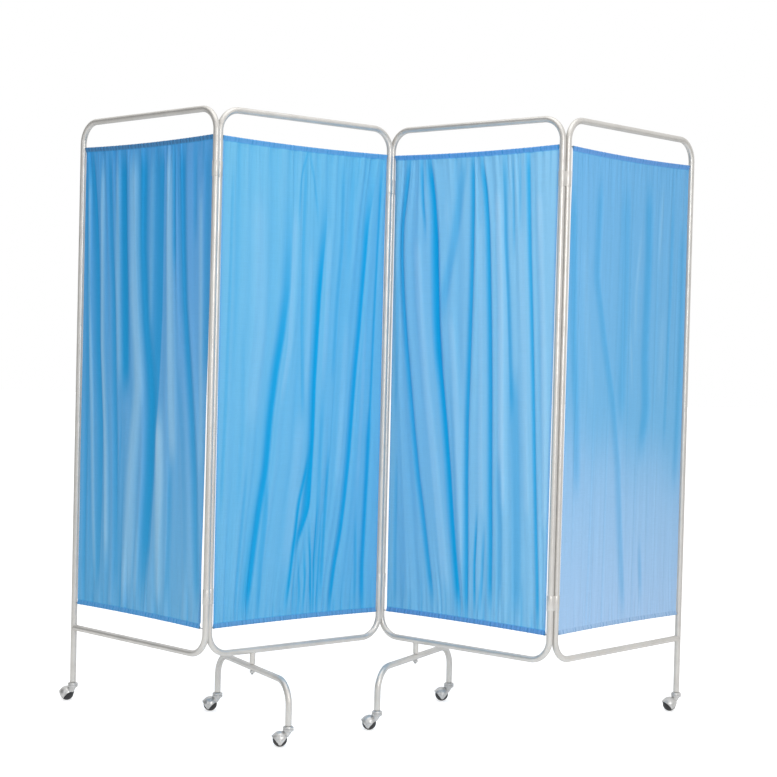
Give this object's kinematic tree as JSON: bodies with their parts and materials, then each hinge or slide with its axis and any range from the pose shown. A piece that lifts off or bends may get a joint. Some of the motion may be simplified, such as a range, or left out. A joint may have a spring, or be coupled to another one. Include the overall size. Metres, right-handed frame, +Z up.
{
  "type": "folding partition screen",
  "caption": "Four-panel folding ward screen: bent tube frames with gathered curtains, linked by post sleeves and standing on turning arches and ball castors.",
  "frame": {"origin": "on the floor at the centre of the screen's bounding box in the pictured half-folded pose", "axes": "+X along the screen to the right as pictured, +Y away from the viewer, +Z up"},
  "size_m": [1.8952, 0.6872, 1.75],
  "materials": {
    "steel": "bright polished tube",
    "chrome": "bright plated",
    "wire": "drawn wire",
    "nylon": "moulded, matt",
    "rubber": "moulded, satin",
    "cloth": "light blue woven cloth, matt"
  },
  "bodies": {
    "panel_2": {"frame_tube_2": "steel", "top_wire_2": "wire", "bottom_wire_2": "wire", "curtain_2": "cloth", "arch_post_2": "steel", "pivot_stud_2": "chrome", "pivot_nut_2": "chrome"},
    "panel_1": {"frame_tube_1": "steel", "top_wire_1": "wire", "bottom_wire_1": "wire", "curtain_1": "cloth", "leg_plug_left_leg": "nylon", "castor_stem_left_leg": "chrome"},
    "panel_3": {"frame_tube_3": "steel", "top_wire_3": "wire", "bottom_wire_3": "wire", "curtain_3": "cloth", "arch_post_3": "steel", "pivot_stud_3": "chrome", "pivot_nut_3": "chrome"},
    "panel_4": {"frame_tube_4": "steel", "top_wire_4": "wire", "bottom_wire_4": "wire", "curtain_4": "cloth", "leg_plug_right_leg": "nylon", "castor_stem_right_leg": "chrome"},
    "sleeve_12": {"hinge_sleeve_upper_12": "steel", "hinge_sleeve_lower_12": "steel"},
    "sleeve_23": {"hinge_sleeve_upper_23": "steel", "hinge_sleeve_lower_23": "steel"},
    "sleeve_34": {"hinge_sleeve_upper_34": "steel", "hinge_sleeve_lower_34": "steel"},
    "arch_2": {"foot_arch_2": "steel", "leg_plug_arch_2_rear": "nylon", "castor_stem_arch_2_rear": "chrome", "leg_plug_arch_2_front": "nylon", "castor_stem_arch_2_front": "chrome"},
    "arch_3": {"foot_arch_3": "steel", "leg_plug_arch_3_front": "nylon", "castor_stem_arch_3_front": "chrome", "leg_plug_arch_3_rear": "nylon", "castor_stem_arch_3_rear": "chrome"},
    "castor_left_leg": {"castor_hood_left_leg": "chrome", "castor_axle_left_leg": "chrome"},
    "wheel_left_leg": {"ball_wheel_left_leg": "rubber"},
    "castor_arch_2_rear": {"castor_hood_arch_2_rear": "chrome", "castor_axle_arch_2_rear": "chrome"},
    "wheel_arch_2_rear": {"ball_wheel_arch_2_rear": "rubber"},
    "castor_arch_2_front": {"castor_hood_arch_2_front": "chrome", "castor_axle_arch_2_front": "chrome"},
    "wheel_arch_2_front": {"ball_wheel_arch_2_front": "rubber"},
    "castor_arch_3_front": {"castor_hood_arch_3_front": "chrome", "castor_axle_arch_3_front": "chrome"},
    "wheel_arch_3_front": {"ball_wheel_arch_3_front": "rubber"},
    "castor_arch_3_rear": {"castor_hood_arch_3_rear": "chrome", "castor_axle_arch_3_rear": "chrome"},
    "wheel_arch_3_rear": {"ball_wheel_arch_3_rear": "rubber"},
    "castor_right_leg": {"castor_hood_right_leg": "chrome", "castor_axle_right_leg": "chrome"},
    "wheel_right_leg": {"ball_wheel_right_leg": "rubber"}
  },
  "joints": [
    {"name": "fold_12_at_panel_2", "type": "hinge", "parent": "panel_2", "child": "sleeve_12", "pos_m": [-0.45608, -0.20483, 1], "axis": [0, 0, -1], "range_deg": [-85, 95]},
    {"name": "fold_12_at_panel_1", "type": "hinge", "parent": "sleeve_12", "child": "panel_1", "pos_m": [-0.46346, -0.22416, 1], "axis": [0, 0, -1], "range_deg": [-174.1, 2.9]},
    {"name": "fold_23_at_panel_2", "type": "hinge", "parent": "panel_2", "child": "sleeve_23", "pos_m": [0.01343, 0.17673, 1], "axis": [0, 0, -1], "range_deg": [-90.7, 89.3]},
    {"name": "fold_23_at_panel_3", "type": "hinge", "parent": "sleeve_23", "child": "panel_3", "pos_m": [0.0227, 0.19524, 1], "axis": [0, 0, -1], "range_deg": [-167.2, 12.8]},
    {"name": "fold_34_at_panel_3", "type": "hinge", "parent": "panel_3", "child": "sleeve_34", "pos_m": [0.4942, -0.18385, 1], "axis": [0, 0, 1], "range_deg": [-139.2, 40.8]},
    {"name": "fold_34_at_panel_4", "type": "hinge", "parent": "sleeve_34", "child": "panel_4", "pos_m": [0.51107, -0.17186, 1], "axis": [0, 0, 1], "range_deg": [-122.4, 54.6]},
    {"name": "arch_2_turn", "type": "hinge", "parent": "panel_2", "child": "arch_2", "pos_m": [-0.34044, -0.11085, 0.174], "axis": [0, 0, 1], "range_deg": [-80.7, 99.3]},
    {"name": "arch_3_turn", "type": "hinge", "parent": "panel_3", "child": "arch_3", "pos_m": [0.12713, 0.11128, 0.174], "axis": [0, 0, 1], "range_deg": [-101.1, 78.9]},
    {"name": "swivel_left_leg", "type": "hinge", "parent": "panel_1", "child": "castor_left_leg", "pos_m": [-0.90593, 0.18845, 0.049], "axis": [0, 0, 1], "continuous": true},
    {"name": "swivel_arch_2_rear", "type": "hinge", "parent": "arch_2", "child": "castor_arch_2_rear", "pos_m": [-0.45823, 0.09481, 0.049], "axis": [0, 0, 1], "continuous": true},
    {"name": "swivel_arch_2_front", "type": "hinge", "parent": "arch_2", "child": "castor_arch_2_front", "pos_m": [-0.22266, -0.31652, 0.049], "axis": [0, 0, 1], "continuous": true},
    {"name": "swivel_arch_3_front", "type": "hinge", "parent": "arch_3", "child": "castor_arch_3_front", "pos_m": [0.01697, -0.09856, 0.049], "axis": [0, 0, 1], "continuous": true},
    {"name": "swivel_arch_3_rear", "type": "hinge", "parent": "arch_3", "child": "castor_arch_3_rear", "pos_m": [0.2373, 0.32111, 0.049], "axis": [0, 0, 1], "continuous": true},
    {"name": "swivel_right_leg", "type": "hinge", "parent": "panel_4", "child": "castor_right_leg", "pos_m": [0.93286, 0.26187, 0.049], "axis": [0, 0, 1], "continuous": true},
    {"name": "spin_left_leg", "type": "hinge", "parent": "castor_left_leg", "child": "wheel_left_leg", "pos_m": [-0.92535, 0.19877, 0.02], "axis": [-0.4695, -0.8829, 0], "continuous": true},
    {"name": "spin_arch_2_rear", "type": "hinge", "parent": "castor_arch_2_rear", "child": "wheel_arch_2_rear", "pos_m": [-0.47966, 0.09975, 0.02], "axis": [-0.225, -0.9744, 0], "continuous": true},
    {"name": "spin_arch_2_front", "type": "hinge", "parent": "castor_arch_2_front", "child": "wheel_arch_2_front", "pos_m": [-0.24454, -0.31882, 0.02], "axis": [0.1045, -0.9945, 0], "continuous": true},
    {"name": "spin_arch_3_front", "type": "hinge", "parent": "castor_arch_3_front", "child": "wheel_arch_3_front", "pos_m": [-0.0047, -0.09474, 0.02], "axis": [-0.1736, -0.9848, 0], "continuous": true},
    {"name": "spin_arch_3_rear", "type": "hinge", "parent": "castor_arch_3_rear", "child": "wheel_arch_3_rear", "pos_m": [0.21542, 0.31882, 0.02], "axis": [0.1045, -0.9945, 0], "continuous": true},
    {"name": "spin_right_leg", "type": "hinge", "parent": "castor_right_leg", "child": "wheel_right_leg", "pos_m": [0.91219, 0.25434, 0.02], "axis": [0.342, -0.9397, 0], "continuous": true}
  ]
}
